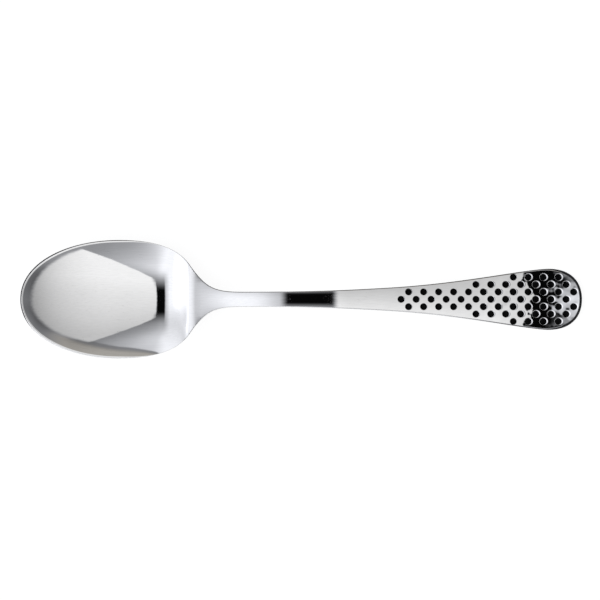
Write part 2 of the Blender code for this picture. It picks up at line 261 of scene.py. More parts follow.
class SpoonSurface:
    """The spoon's outline and the heights of its top and underside."""

    FULLNESS = 2.2  # power of the curve across the bowl, where 2 is a parabola
    LEAST_WIDTH = 0.1 * MM  # keeps shares of the width finite at the two ends
    CROWN_RADII = (48 * MM, 12 * MM, 13 * MM, 16 * MM, 140 * MM)  # at ridge, neck, crest, blade, rest
    BELLY_RADIUS = 220.0 * MM
    RIDGE_SOFT = 0.6 * MM
    RIM_SOFT = 0.3 * MM
    RIM_THICKNESS = 1.5 * MM
    RIDGE_EDGE = 2.2 * MM
    NECK_THICKNESS = 3.2 * MM
    CREST_THICKNESS = 3.0 * MM
    REST_FLAT = 0.15 * MM
    CUP = 0.65  # how much less the edges of the turned-up end bend than its middle
    CUP_WIDTH = 8.8 * MM  # distance from the middle line where that is complete
    CUP_CHANGE = (-5 * MM, 1 * MM)  # stations where it begins and is complete, measured from the rest
    RUN_ON = 10 * MM  # how far the curves of bowl and handle run on past the heel

    def __init__(self, shape):
        self.shape = shape
        self.ridge = shape.bowl_length
        self.neck = self.ridge + shape.neck_run
        self.crest = self.neck + 22.4 * MM
        self.deepest = self.ridge - 10.3 * MM
        self.heel = self.ridge - 2.0 * MM
        self.heel_height = shape.ridge_height - 0.55 * MM
        self.rest = shape.length - 15.0 * MM
        self.blade = shape.length - 63.3 * MM
        self.rest_height = shape.thickness - self.REST_FLAT
        self.outline = curve_points(self.outline_knots())
        self.bowl_line = self.extended(self.bowl_knots(), 0, self.RUN_ON)
        self.handle_line = self.extended(self.handle_knots(), self.RUN_ON, 0)
        self.belly_line = curve_points(self.belly_knots())

    def outline_knots(self):
        shape = self.shape
        return (
            Knot(0, 0, 90, 0, 0.64),
            Knot(32.5 * MM, shape.bowl_width / 2, 0, 0.51, 0.80),
            Knot(self.ridge, shape.ridge_width / 2, -52, 0.14, 0.46),
            Knot(self.neck, shape.neck_width / 2, 0, 0.57, 0.42),
            Knot(self.blade, shape.blade_width / 2, 3.5, 0.34, 0.46),
            Knot(shape.length - 11.0 * MM, shape.handle_width / 2, 0, 0.13, 0.70),
            Knot(shape.length, 0, -90, 0.58, 0),
        )

    def bowl_knots(self):
        return (
            Knot(0, self.shape.tip_height, -22.5, 0, 0.30),
            Knot(self.ridge - 12.4 * MM, 1.5 * MM, -5.2, 0.30, 0.59),
            Knot(self.heel, self.heel_height, 61, 0.44, 0),
        )

    def handle_knots(self):
        shape = self.shape
        return (
            Knot(self.heel, self.heel_height, 13, 0, 0.33),
            Knot(self.ridge + 0.6 * MM, shape.ridge_height - 0.1 * MM, 5.5, 0.33, 0.33),
            Knot(self.ridge + 2.6 * MM, shape.ridge_height + 0.11 * MM, 6.8, 0.33, 0.33),
            Knot(self.ridge + 12.6 * MM, shape.ridge_height + 1.75 * MM, 12.3, 0.33, 0.33),
            Knot(self.crest, shape.crest_height, 0, 0.45, 0.41),
            Knot(self.rest - 0.8 * MM, self.rest_height, 0, 0.2, 0.27),
            Knot(shape.length, shape.thickness + 2.1 * MM, 14, 0.33, 0),
        )

    def belly_knots(self):
        rise = self.handle_height(self.neck + PROBE) - self.handle_height(self.neck - PROBE)
        slope = math.degrees(math.atan2(rise, 2 * PROBE))
        return (
            Knot(0, self.shape.tip_height - self.RIM_THICKNESS, -22, 0, 0.30),
            Knot(self.deepest, -self.REST_FLAT, 0, 0.23, 0.22),
            Knot(self.neck, self.handle_height(self.neck) - self.NECK_THICKNESS, slope, 0.58, 0),
        )

    def extended(self, knots, before, after):
        """A curve's points, running straight on past its ends."""
        points = curve_points(knots)
        start = points[:1] - before * heading_vector(knots[0].heading)
        end = points[-1:] + after * heading_vector(knots[-1].heading)
        return np.concatenate((start, points, end))

    def half_width(self, station):
        return np.interp(station, self.outline[:, 0], self.outline[:, 1])

    def bowl_height(self, station):
        return np.interp(station, self.bowl_line[:, 0], self.bowl_line[:, 1])

    def handle_height(self, station):
        return np.interp(station, self.handle_line[:, 0], self.handle_line[:, 1])

    def rim_height(self, station):
        fall = self.shape.tip_height - self.heel_height
        return self.shape.tip_height - fall * station / self.heel

    def across_share(self, station, across):
        width = np.maximum(self.half_width(station), self.LEAST_WIDTH)
        return np.minimum(np.abs(across) / width, 1) ** self.FULLNESS

    def cup(self, station, across):
        """How much lower than its middle line the turned-up end lies."""
        lift = self.handle_height(station) - self.rest_height
        spread = np.minimum(across**2 / self.CUP_WIDTH**2, 1)
        share = ease(station, self.rest + self.CUP_CHANGE[0], self.rest + self.CUP_CHANGE[1])
        return share * self.CUP * lift * spread

    def top(self, station, across):
        """Height of the top surface: hollow in the bowl, gently crowned along the handle."""
        bowl = self.bowl_height(station)
        handle = self.handle_height(station)
        rim = self.rim_height(station)
        near = np.abs(station - self.ridge) < NEARBY
        in_bowl = station < self.ridge
        middle = np.where(in_bowl, bowl, handle)
        middle = np.where(near, soft_min(bowl, handle, self.RIDGE_SOFT), middle)
        edge = np.where(in_bowl, rim, handle)
        edge = np.where(near, -soft_min(-rim, -handle, self.RIM_SOFT), edge)
        stations = (self.ridge, self.neck, self.crest, self.blade, self.rest)
        bend = np.interp(station, stations, 1 / np.array(self.CROWN_RADII))
        crown = ease(station, self.ridge, self.neck) * across**2 * bend / 2
        hollow = (edge - middle) * self.across_share(station, across)
        return middle + hollow - crown - self.cup(station, across)

    def belly(self, station):
        """Height of the underside along the middle."""
        stations = (self.neck, self.crest, self.rest)
        sizes = (self.NECK_THICKNESS, self.CREST_THICKNESS, self.shape.thickness)
        bowl = np.interp(station, self.belly_line[:, 0], self.belly_line[:, 1])
        handle = self.handle_height(station) - np.interp(station, stations, sizes)
        return np.where(station < self.neck, bowl, handle)

    def under(self, station, across):
        """Height of the underside, dressed flat where it rests on the table."""
        at_bowl = np.minimum(station, self.ridge)
        edges = (self.RIM_THICKNESS, self.RIDGE_EDGE)
        rim_thickness = np.interp(at_bowl, (self.deepest, self.ridge), edges)
        rise = self.rim_height(at_bowl) - rim_thickness - self.belly(at_bowl)
        share = 1 - ease(station, self.ridge, self.neck)
        height = self.belly(station) + share * rise * self.across_share(station, across)
        height += (1 - share) * across**2 / (2 * self.BELLY_RADIUS) - self.cup(station, across)
        return np.maximum(height, 0)

    def inset(self, station, across):
        """Distance from the outline, for places that lie close together."""
        near = self.outline[np.abs(self.outline[:, 0] - np.mean(station)) < NEARBY][::OUTLINE_SKIP]
        gaps = np.hypot(station[:, None] - near[:, 0], np.abs(across)[:, None] - near[:, 1])
        return gaps.min(axis=1)

    def handle_face(self, station, across):
        """Height of the handle's top with the curl of its edge."""
        edge = edge_profile(self, station)
        outward = np.clip(1 - self.inset(station, across) / edge.curl, 0, 1)
        return self.top(station, across) - curl_drop(outward, edge)[0]

    def normals(self, height, station, across):
        """Upward normals of a height function."""
        along_rise = height(station + PROBE, across) - height(station - PROBE, across)
        across_rise = height(station, across + PROBE) - height(station, across - PROBE)
        return unit(np.stack((-along_rise, -across_rise, np.full_like(station, 2 * PROBE)), axis=-1))

    def outline_ring(self):
        """Points round the whole outline, with the directions that lead inwards."""
        step = np.linalg.norm(np.diff(self.outline, axis=0), axis=1)
        way = np.concatenate(((0,), np.cumsum(step)))

        def at(places):
            return np.stack([np.interp(places, way, self.outline[:, axis]) for axis in (0, 1)], axis=1)

        count = round(way[-1] / OUTLINE_STEP)
        places = np.linspace(0, way[-1], count + 1)
        half = at(places)
        along = unit(at(places + PROBE) - at(places - PROBE))
        along[0] = (0, 1)
        along[-1] = (0, -1)
        inward = np.stack((along[:, 1], -along[:, 0]), axis=1)
        mirror = np.array((1, -1))
        ring = np.concatenate((half, half[-2:0:-1] * mirror))
        inwards = np.concatenate((inward, inward[-2:0:-1] * mirror))
        return ring, inwards

    def dots(self):
        """Name, station and distance from the middle of each enamel dot."""
        shape = self.shape
        columns = DOT_ROWS[0][2]
        first = shape.length - DOT_END - (columns - 1) * shape.dot_pitch
        outermost = DOT_ROWS[-1][0]
        row_pitch = (shape.handle_width / 2 - DOT_SIDE) / outermost
        for row, start, end in DOT_ROWS:
            for side in (1, -1) if row else (1,):
                letter = chr(ord("A") + outermost - side * row)
                for column in range(start, end):
                    station = first + (column + row % 2 / 2) * shape.dot_pitch
                    yield f"enamel_dot_{letter}{column - start + 1:02d}", station, side * row * row_pitch


class MeshParts:
    """Gathers the points, normals, wear and faces of one mesh."""

    def __init__(self):
        self.points = []
        self.normals = []
        self.wear = []
        self.faces = []
        self.count = 0

    def add(self, points, normals, wear=0.0):
        """Adds points, and returns their numbers."""
        self.points.append(points)
        self.normals.append(normals)
        self.wear.append(np.broadcast_to(wear, len(points)))
        numbers = np.arange(self.count, self.count + len(points))
        self.count += len(points)
        return numbers

    def strip(self, outer, inner):
        """Faces between two closed rings; the inner one lies to the left of the way round."""
        corners = (outer, np.roll(outer, -1), np.roll(inner, -1), inner)
        self.faces += np.stack(corners, axis=1).tolist()

    def cap(self, ring, middle):
        """Faces from a closed ring to one point."""
        self.faces += [(a, b, middle) for a, b in zip(ring.tolist(), np.roll(ring, -1).tolist())]

    def make(self, name, material):
        mesh = bpy.data.meshes.new(name)
        points = np.concatenate(self.points) - (LENGTH / 2, 0, 0)
        mesh.from_pydata(points.tolist(), [], self.faces)
        mesh.update()
        mesh.shade_smooth()
        wear = mesh.attributes.new("wear", "FLOAT", "POINT")
        wear.data.foreach_set("value", np.concatenate(self.wear).astype(np.float32))
        mesh.normals_split_custom_set_from_vertices(np.concatenate(self.normals).tolist())
        mesh.materials.append(material)
        piece = bpy.data.objects.new(name, mesh)
        bpy.context.scene.collection.objects.link(piece)
        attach(piece, BODY)
        return piece


def edge_profile(surface, station):
    """Sizes of the edge at each station."""
    bowl = 1 - ease(station, surface.ridge + HANDLE_CHANGE[0], surface.ridge + HANDLE_CHANGE[1])
    handle = 1 - bowl
    full = bowl * (1 - BACK_LOSS * ease(station, *BACK_CHANGE))
    tip = 1 - ease(station, *TIP_CHANGE)
    end = ease(station, surface.rest + END_CHANGE[0], surface.shape.length + END_CHANGE[1])
    stations = (surface.neck, surface.crest, surface.blade, surface.rest)
    handle_curl = np.interp(station, stations, HANDLE_CURLS) + END_CURL * end
    handle_drop = np.interp(station, stations, HANDLE_DROPS) + END_DROP * end
    return Edge(
        curl=full * (RIM_CURL + TIP_CURL * tip) + handle * handle_curl,
        drop=full * (RIM_DROP + TIP_DROP * tip) + handle * handle_drop,
        bevel=bowl * (RIM_BEVEL + TIP_BEVEL * tip) + handle * (HANDLE_BEVEL + END_BEVEL * end),
        land=full * surface.shape.land + handle * HANDLE_LAND,
        bowl=bowl,
    )


def curl_drop(outward, edge):
    """How far the curl has dropped at a share of its width, and how steeply it falls there."""
    turn = edge.bevel + (1 - edge.bevel) * outward
    upright = np.sqrt(np.maximum(1 - turn**2, 0))
    start = np.sqrt(1 - edge.bevel**2)
    slope = (1 - edge.bevel) * turn / np.maximum(upright, LEAST_UPRIGHT)
    return edge.drop * (start - upright) / start, edge.drop * slope / start


def add_top_edge(parts, surface, ring, inward):
    """Rings from the outline in to the face; returns their numbers and points, the outermost first."""
    edge = edge_profile(surface, ring[:, 0])
    slope = LAND_SLOPE + (SIDE_SLOPE - LAND_SLOPE) * ease(ring[:, 0], *SLOPE_CHANGE)
    rim_fall = (surface.shape.tip_height - surface.heel_height) / surface.heel
    foot = ring + inward * (edge.curl + edge.land)[:, None]
    foot_height = surface.top(*foot.T)
    insets = [edge.curl * (1 - math.cos(step / CURL_STEPS * math.pi / 2)) for step in range(CURL_STEPS)]
    insets += [edge.curl - CREASE / 2, edge.curl + CREASE / 2]
    insets += [edge.curl + edge.land * step / LAND_STEPS for step in range(1, LAND_STEPS)]
    insets.append(edge.curl + edge.land - CREASE)
    numbers = []
    points = []
    for index, inset in enumerate(insets):
        place = ring + inward * inset[:, None]
        drop, steep = curl_drop(np.clip((edge.curl - inset) / edge.curl, 0, 1), edge)
        land = foot_height + slope * (edge.land - np.maximum(inset - edge.curl, 0))
        face = surface.top(*place.T)
        height = edge.bowl * land + (1 - edge.bowl) * face - drop
        level = surface.normals(surface.top, *place.T)
        level = level / level[:, 2:] * (1, 1, 0) * (1 - edge.bowl)[:, None]
        level[:, 0] += edge.bowl * (LAND_LEAN + rim_fall)
        rise = np.where(inset > edge.curl, -edge.bowl * slope, steep / edge.curl)
        lean = np.column_stack((level[:, :2] - inward * rise[:, None], np.ones(len(ring))))
        if index == 0:
            lean = np.column_stack((-inward, np.zeros(len(ring))))
        points.append(np.column_stack((place, height)))
        numbers.append(parts.add(points[-1], unit(lean), 1 - EDGE_LOSS * index / len(insets)))
    face_normals = surface.normals(surface.top, *foot.T)
    points.append(np.column_stack((foot, foot_height)))
    numbers.append(parts.add(points[-1], face_normals, FOOT_WEAR))
    for outer, inner in zip(numbers[:CURL_WALL], numbers[1:]):
        parts.strip(inner, outer)
    return numbers, points


def add_under_edge(parts, surface, ring, inward, outermost, edge_height):
    """Rings from the outline in to the underside; returns the innermost and its places."""
    edge = edge_profile(surface, ring[:, 0])
    reach = edge.bowl * UNDER_CURL + (1 - edge.bowl) * edge.curl
    foot = ring + inward * reach[:, None]
    foot_height = surface.under(*foot.T)
    rows = [np.column_stack((ring, edge_height))]
    for step in range(1, CURL_STEPS + 1):
        angle = step / CURL_STEPS * math.pi / 2
        place = ring + inward * (reach * (1 - math.cos(angle)))[:, None]
        height = edge_height - (edge_height - foot_height) * math.sin(angle)
        rows.append(np.column_stack((place, height)))
    rows = np.array(rows)
    along = np.roll(rows, -1, axis=1) - np.roll(rows, 1, axis=1)
    normals = unit(np.cross(np.gradient(rows, axis=0), along))
    normals = np.where(normals[:, :, 2:] > 0, -normals, normals)
    numbers = [outermost]
    numbers += [parts.add(row, normal, UNDER_WEAR) for row, normal in zip(rows[1:-1], normals[1:-1])]
    face_normals = -surface.normals(surface.under, *foot.T)
    numbers.append(parts.add(rows[-1], face_normals, FOOT_WEAR))
    for outer, inner in zip(numbers, numbers[1:]):
        parts.strip(outer, inner)
    return numbers[-1], foot


def find_bores(surface):
    """Every bore, with the mouth that polishing has worn and dragged towards the end."""
    radius = surface.shape.dot_diameter / 2
    found = []
    for _, station, across in surface.dots():
        worn = ease(station, surface.blade + WORN_CHANGE[0], surface.blade + WORN_CHANGE[1])
        worn = LEAST_WORN + (1 - LEAST_WORN) * worn
        inset = surface.inset(np.array((station,)), np.array((across,)))[0]
        room = inset - radius - MOUTH_MARGIN
        lip = min(surface.shape.lip * worn, room / (1 + LIP_DRAG[0]))
        centre = (station, across) + LIP_DRAG * lip
        mouth = radius + lip
        found.append(Bore(station, across, centre, mouth, (radius + LIP_ACROSS * lip) / mouth))
    return found


def clear_of(bores, places, gap):
    """Which of the places lie outside every bore's mouth by that gap."""
    kept = np.ones(len(places), bool)
    for bore in bores:
        away = (places[:, :2] - bore.centre) / (1, bore.narrow)
        kept &= np.linalg.norm(away, axis=1) > bore.mouth + gap
    return kept


def upper_half(ring):
    """The places of a ring on one side of the middle line, in order along the spoon."""
    half = ring[ring[:, 1] >= 0]
    return half[np.argsort(half[:, 0])]


def face_places(surface, foot, step):
    """Places spread over a face inside its foot ring, in rows across the spoon."""
    half = upper_half(foot)
    stations = [half[0, 0] + step]
    while stations[-1] < half[-1, 0]:
        beyond = abs(stations[-1] - surface.ridge - RIDGE_SHIFT) - RIDGE_BAND
        pace = RIDGE_STEP if beyond < 0 else min(step, RIDGE_STEP + beyond / RIDGE_FADE)
        stations.append(stations[-1] + pace)
    places = []
    for index, station in enumerate(stations):
        width = np.interp(station, half[:, 0], half[:, 1]) - FOOT_GAP * step
        count = int(width / step)
        if width > 0:
            row = (np.arange(-count, count + 1) + (index % 2) / 2) * step
            row = row[np.abs(row) < width]
            places.append(np.column_stack((np.full(len(row), station), row)))
    return np.concatenate(places)


def fill_face(parts, numbers, places, loops, bores, upward):
    """Joins the places of one face into triangles inside its outer loop and outside the bores."""
    edges = []
    start = 0
    for count in loops:
        edges += [(start + index, start + (index + 1) % count) for index in range(count)]
        start += count
    flat = [Vector(place / MM) for place in places]
    triangles, sources = delaunay_2d_cdt(flat, edges, [], 0, SAME_PLACE)[2:4]
    corners = np.array([ids[0] for ids in sources])[np.array(triangles)]
    middle = places[corners].mean(axis=1)
    half = upper_half(places[: loops[0]])
    inside = np.abs(middle[:, 1]) < np.interp(middle[:, 0], half[:, 0], half[:, 1])
    corners = corners[inside & clear_of(bores, middle, 0)]
    a, b, c = (places[corners[:, index]] for index in range(3))
    turn = (b - a)[:, 0] * (c - a)[:, 1] - (b - a)[:, 1] * (c - a)[:, 0]
    wrong = (turn < 0) == upward
    corners[wrong] = corners[wrong][:, ::-1]
    parts.faces += numbers[corners].tolist()


def dot_circle(station, across, radius):
    angle = np.arange(DOT_SIDES) / DOT_SIDES * 2 * math.pi
    spoke = np.column_stack((np.cos(angle), np.sin(angle)))
    return (station, across) + radius * spoke, spoke


def add_pocket(parts, surface, bore):
    """The dished mouth, wall and floor of one bore; returns the ring of its mouth and its places."""
    radius = surface.shape.dot_diameter / 2
    inner, spoke = dot_circle(bore.station, bore.across, radius)
    outer = bore.centre + bore.mouth * spoke * (1, bore.narrow)
    inwards = np.column_stack((-spoke, np.zeros(DOT_SIDES)))
    lip = np.linalg.norm(outer - inner, axis=1)
    depth = LIP_DEPTH * lip.mean()
    rings = []
    for step in range(LIP_STEPS + 1):
        share = step / LIP_STEPS
        place = outer + (inner - outer) * share
        heights = surface.handle_face(*place.T) - depth * share**2
        upright = surface.normals(surface.handle_face, *place.T)
        normals = unit(upright + (2 * depth * share / lip)[:, None] * inwards)
        rings.append(parts.add(np.column_stack((place, heights)), normals, LIP_WEAR * share))
    place = dot_circle(bore.station, bore.across, radius - BORE_EDGE)[0]
    heights = heights - 2 * BORE_EDGE
    rings.append(parts.add(np.column_stack((place, heights)), inwards, LIP_WEAR))
    heights = surface.top(*place.T) - BORE_DEPTH
    rings.append(parts.add(np.column_stack((place, heights)), unit(inwards + (0, 0, 1))))
    floor = surface.top(np.array(bore.station), np.array(bore.across)) - BORE_DEPTH
    middle = parts.add(np.array(((bore.station, bore.across, floor),)), np.array(((0.0, 0.0, 1.0),)))
    for ring, next_ring in zip(rings, rings[1:]):
        parts.strip(ring, next_ring)
    parts.cap(rings[-1], int(middle[0]))
    return rings[0], outer


def make_body(surface, material):
    """The whole steel blank as one closed mesh."""
    parts = MeshParts()
    ring, inward = surface.outline_ring()
    rows, points = add_top_edge(parts, surface, ring, inward)
    under_ring, under_foot = add_under_edge(parts, surface, ring, inward, rows[0], points[0][:, 2])
    bores = find_bores(surface)
    numbers = [rows[CURL_WALL]]
    places = [points[CURL_WALL][:, :2]]
    for bore in bores:
        pocket_ring, pocket_places = add_pocket(parts, surface, bore)
        numbers.append(pocket_ring)
        places.append(pocket_places)
    loops = [len(part) for part in places]
    for row, row_points in zip(rows[CURL_WALL + 1 :], points[CURL_WALL + 1 :]):
        kept = clear_of(bores, row_points, RING_GAP)
        numbers.append(row[kept])
        places.append(row_points[kept, :2])
    inner = face_places(surface, points[-1], FACE_STEP)
    inner = inner[clear_of(bores, inner, FACE_GAP)]
    heights = surface.top(*inner.T)
    normals = surface.normals(surface.top, *inner.T)
    numbers.append(parts.add(np.column_stack((inner, heights)), normals))
    places.append(inner)
    fill_face(parts, np.concatenate(numbers), np.concatenate(places), loops, bores, True)
    inner = face_places(surface, under_foot, UNDER_STEP)
    heights = surface.under(*inner.T)
    normals = -surface.normals(surface.under, *inner.T)
    numbers = np.concatenate((under_ring, parts.add(np.column_stack((inner, heights)), normals)))
    places = np.concatenate((under_foot, inner))
    fill_face(parts, numbers, places, [len(under_foot)], (), False)
    return parts.make("polished_spoon", material)


def make_dot(surface, name, station, across, dish, material):
    """One enamel fill: a dished top, a rounded shoulder, its side and its bottom."""
    parts = MeshParts()
    inner_radius = surface.shape.dot_diameter / 2 - FILL_GAP - FILL_SHOULDER
    centre = np.array((station, across))
    centre_height = surface.top(*centre)
    upright = surface.normals(surface.top, centre[:1], centre[1:])[0]
    middle = parts.add(np.array(((*centre, centre_height - FILL_LEVEL - dish),)), upright[None])
    rings = []
    for share in (0.25, 0.5, 0.75, 1.0):
        place, spoke = dot_circle(*centre, inner_radius * share)
        outwards = np.column_stack((spoke, np.zeros(DOT_SIDES)))
        heights = surface.top(*place.T) - FILL_LEVEL - dish * (1 - share**2)
        slope = 2 * dish * share / inner_radius
        rings.append(parts.add(np.column_stack((place, heights)), unit(upright - slope * outwards)))
    for turn in (0.35, 0.7, 1.0):
        angle = turn * math.pi / 2
        place = dot_circle(*centre, inner_radius + FILL_SHOULDER * math.sin(angle))[0]
        sunk = FILL_LEVEL + FILL_SHOULDER * (1 - math.cos(angle))
        heights = surface.top(*place.T) - sunk
        normals = unit(upright * math.cos(angle) + outwards * math.sin(angle))
        rings.append(parts.add(np.column_stack((place, heights)), normals, SHOULDER_WEAR))
    heights = surface.top(*place.T) - FILL_DEPTH
    rings.append(parts.add(np.column_stack((place, heights)), unit(outwards - (0, 0, 1))))
    floor = np.array(((*centre, centre_height - FILL_DEPTH),))
    bottom = parts.add(floor, np.array(((0.0, 0.0, -1.0),)))
    parts.cap(rings[0], int(middle[0]))
    for inner, outer in zip(rings, rings[1:]):
        parts.strip(outer, inner)
    parts.cap(rings[-1][::-1], int(bottom[0]))
    return parts.make(f"{name}_fill", material)


class Shade:
    """A socket of a node tree. Arithmetic on it adds Math nodes."""

    def __init__(self, tree, socket=None):
        self.tree = tree
        self.socket = socket

    def node(self, kind, settings=None, sockets=None, out=0):
        """Adds a node: its settings first, then the values or links of its sockets."""
        node = self.tree.nodes.new(kind)
        for name, value in (settings or {}).items():
            setattr(node, name, value)
        for name, value in (sockets or {}).items():
            if isinstance(value, Shade):
                self.tree.links.new(value.socket, node.inputs[name])
            else:
                node.inputs[name].default_value = value
        return Shade(self.tree, node.outputs[out]) if node.outputs else node

    def math(self, operation, *values):
        return self.node("ShaderNodeMath", {"operation": operation}, dict(enumerate(values)))

    def __add__(self, other):
        return self.math("ADD", self, other)

    def __sub__(self, other):
        return self.math("SUBTRACT", self, other)

    def __rsub__(self, other):
        return self.math("SUBTRACT", other, self)

    def __mul__(self, other):
        return self.math("MULTIPLY", self, other)

    def __truediv__(self, other):
        return self.math("DIVIDE", self, other)

    def __rtruediv__(self, other):
        return self.math("DIVIDE", other, self)

    def __neg__(self):
        return self.math("MULTIPLY", self, -1.0)

    def __abs__(self):
        return self.math("ABSOLUTE", self)

    __radd__ = __add__
    __rmul__ = __mul__

    def above(self, other):
        return self.math("MAXIMUM", self, other)

    def below(self, other):
        return self.math("MINIMUM", self, other)

    def ease(self, low, high):
        """0 at low, 1 at high, smooth between; low may be the larger."""
        settings = {"interpolation_type": "SMOOTHSTEP"}
        return self.node("ShaderNodeMapRange", settings, {0: self, 1: low, 2: high, 3: 0.0, 4: 1.0})

    def window(self, low, rise, fall, high):
        """1 between rise and fall, 0 below low and above high."""
        return self.ease(low, rise) * self.ease(high, fall)

    def parts(self):
        """The three numbers of a vector."""
        split = self.node("ShaderNodeSeparateXYZ", None, {0: self})
        return [Shade(self.tree, socket) for socket in split.socket.node.outputs]

    def scaled(self, *scale):
        settings = {"operation": "MULTIPLY"}
        return self.node("ShaderNodeVectorMath", settings, {0: self, 1: scale})

    def noise(self, scale, detail=2.0):
        return self.node("ShaderNodeTexNoise", None, {"Vector": self, "Scale": scale, "Detail": detail})

    def mix(self, first, second):
        """A colour between two others, by this share."""
        settings = {"data_type": "RGBA"}
        return self.node("ShaderNodeMix", settings, {0: self, 6: first, 7: second}, 2)


def start_material(name):
    """A new material, its Principled shader and a place to start expressions from."""
    material = bpy.data.materials.new(name)
    material.use_nodes = True
    return material, material.node_tree.nodes["Principled BSDF"], Shade(material.node_tree)


def link(value, socket):
    value.tree.links.new(value.socket, socket)


class SteelLook:
    """Marks of the steel: scales per metre, places from the middle of the spoon, and strengths"""

    LINES = (60.0, 2600.0, 2600.0)  # along, across and up
    STREAKS = (45.0, 1800.0, 1800.0)
    HAIRS = (180.0, 4200.0, 4200.0)
    HAIR_LEVELS = (0.66, 0.74)  # of the noise, where a scratch begins and is full
    PATCHES, PATCH_LEVELS = 160.0, (0.5, 0.62)  # where there are scratches at all
    CLOUDS = 90.0
    DENTS_ALONG, DENTS_ACROSS = 430.0, 370.0
    DENTED = (55 * MM, 72 * MM)
    DENTED_UP = (0.2, 0.6)  # dents are only where the steel faces up this much
    HELD, HELD_TONE = (6 * MM, 18 * MM, 30 * MM, 48 * MM), 0.07  # where the handle is duller
    END, END_TONE = (58 * MM, 78 * MM), 0.12
    TONE, LINE_TONE, CLOUD_TONE, WORN_TONE = 0.91, 0.09, 0.05, 0.02
    TONES = (0.84, 1.04)  # darkest and brightest
    DARKEST = 0.78  # share of the colour that the darkest keeps
    EVEN_ROUGH, LINE_ROUGH, CLOUD_ROUGH = 0.7, 0.4, 0.3  # shares of the mean roughness
    WORN_ROUGH, SCRATCH_ROUGH = 0.03, 0.08


def make_steel(finish):
    """Mirror-polished steel with lengthwise polish lines, faint scratches, dents and worn edges."""
    look = SteelLook
    material, shader, tree = start_material("polished_steel")
    place = tree.node("ShaderNodeTexCoord", out="Object")
    along = place.parts()[0]
    wear = tree.node("ShaderNodeAttribute", {"attribute_name": "wear"}, out="Fac")
    lines = place.scaled(*look.LINES).noise(1.0, 3.0)
    cloud = place.noise(look.CLOUDS, 3.0)
    scratch = place.scaled(*look.HAIRS).noise(1.0, 1.0).ease(*look.HAIR_LEVELS)
    scratch = scratch * place.noise(look.PATCHES, 1.0).ease(*look.PATCH_LEVELS)
    held = look.HELD_TONE * along.window(*look.HELD) + look.END_TONE * along.ease(*look.END)
    grey = look.TONE - held + look.LINE_TONE * lines + look.CLOUD_TONE * cloud
    grey = grey + look.WORN_TONE * wear - finish.scratches * scratch
    dark = [channel * look.DARKEST for channel in finish.colour]
    link(grey.ease(*look.TONES).mix((*dark, 1), (*finish.colour, 1)), shader.inputs["Base Color"])
    rough = finish.roughness * (look.EVEN_ROUGH + look.LINE_ROUGH * lines + look.CLOUD_ROUGH * cloud)
    rough = rough + look.WORN_ROUGH * wear + look.SCRATCH_ROUGH * scratch
    link(rough, shader.inputs["Roughness"])
    shader.inputs["Metallic"].default_value = 1.0
    upright = tree.node("ShaderNodeNewGeometry", out="Normal")
    tilt = (place.scaled(*look.STREAKS).noise(1.0, 3.0) - 0.5) * finish.streaks
    dented = along.ease(*look.DENTED) * upright.parts()[2].ease(*look.DENTED_UP) * finish.dents
    dents_along = (place.noise(look.DENTS_ALONG, 1.0) - 0.5) * dented
    dents_across = (place.scaled(1.0, 1.0, -1.0).noise(look.DENTS_ACROSS, 1.0) - 0.5) * dented
    lean = tree.node("ShaderNodeCombineXYZ", None, {0: tilt + dents_along, 1: dents_across, 2: 0.0})
    leaning = upright.node("ShaderNodeVectorMath", {"operation": "ADD"}, {0: upright, 1: lean})
    polished = leaning.node("ShaderNodeVectorMath", {"operation": "NORMALIZE"}, {0: leaning})
    link(polished, shader.inputs["Normal"])
    return material


class EnamelLook:
    """Marks of the enamel: scales per metre, and strengths"""

    CLOUDS, CLOUD_LEVELS, CLOUD_TONE = 700.0, (0.35, 0.75), 0.6
    WORN_TONE, WORN_ROUGH = 0.4, 0.2
    PALEST = 2.2  # times the colour
    EVEN_ROUGH, CLOUD_ROUGH = 0.8, 0.4  # shares of the mean roughness
    GRAIN, GRAIN_STRENGTH, GRAIN_DEPTH = 2600.0, 0.08, 0.1 * MM
    GLOSS = 0.035


def make_enamel(finish):
    """Black enamel, glossy with slight clouds and a duller rim."""
    look = EnamelLook
    material, shader, tree = start_material("black_enamel")
    place = tree.node("ShaderNodeTexCoord", out="Object")
    wear = tree.node("ShaderNodeAttribute", {"attribute_name": "wear"}, out="Fac")
    cloud = place.noise(look.CLOUDS, 3.0)
    pale = [channel * look.PALEST for channel in finish.colour]
    share = cloud.ease(*look.CLOUD_LEVELS) * look.CLOUD_TONE + look.WORN_TONE * wear
    link(share.mix((*finish.colour, 1), (*pale, 1)), shader.inputs["Base Color"])
    rough = finish.roughness * (look.EVEN_ROUGH + look.CLOUD_ROUGH * cloud) + look.WORN_ROUGH * wear
    link(rough, shader.inputs["Roughness"])
    sockets = {"Strength": look.GRAIN_STRENGTH, "Distance": look.GRAIN_DEPTH}
    sockets["Height"] = place.noise(look.GRAIN)
    link(tree.node("ShaderNodeBump", None, sockets), shader.inputs["Normal"])
    shader.inputs["Specular IOR Level"].default_value = look.GLOSS
    return material


class FloorLook:
    """Tones of the floor, and where the painted bright side in the steel's reflections of it begins and
    is full
    """

    CLOUDS, CLOUD_TONE = 30.0, 0.985
    SHADOW, GLOW = (0.2, 0.2, 0.2, 1), 0.91  # what the lens sees of shadows, and the white under them
    SIDE, SIDE_END = (4 * MM, 14 * MM), (75 * MM, 45 * MM)
    SLANT, SLANT_FROM = 0.45, -85 * MM
    # Painted reflection: the floor tones and glow that only the steel's reflections see
    DARK, BRIGHT, LIT = (0.04, 0.04, 0.042, 1), (0.95, 0.95, 0.95, 1), (0.3, 0.3, 0.3, 1)


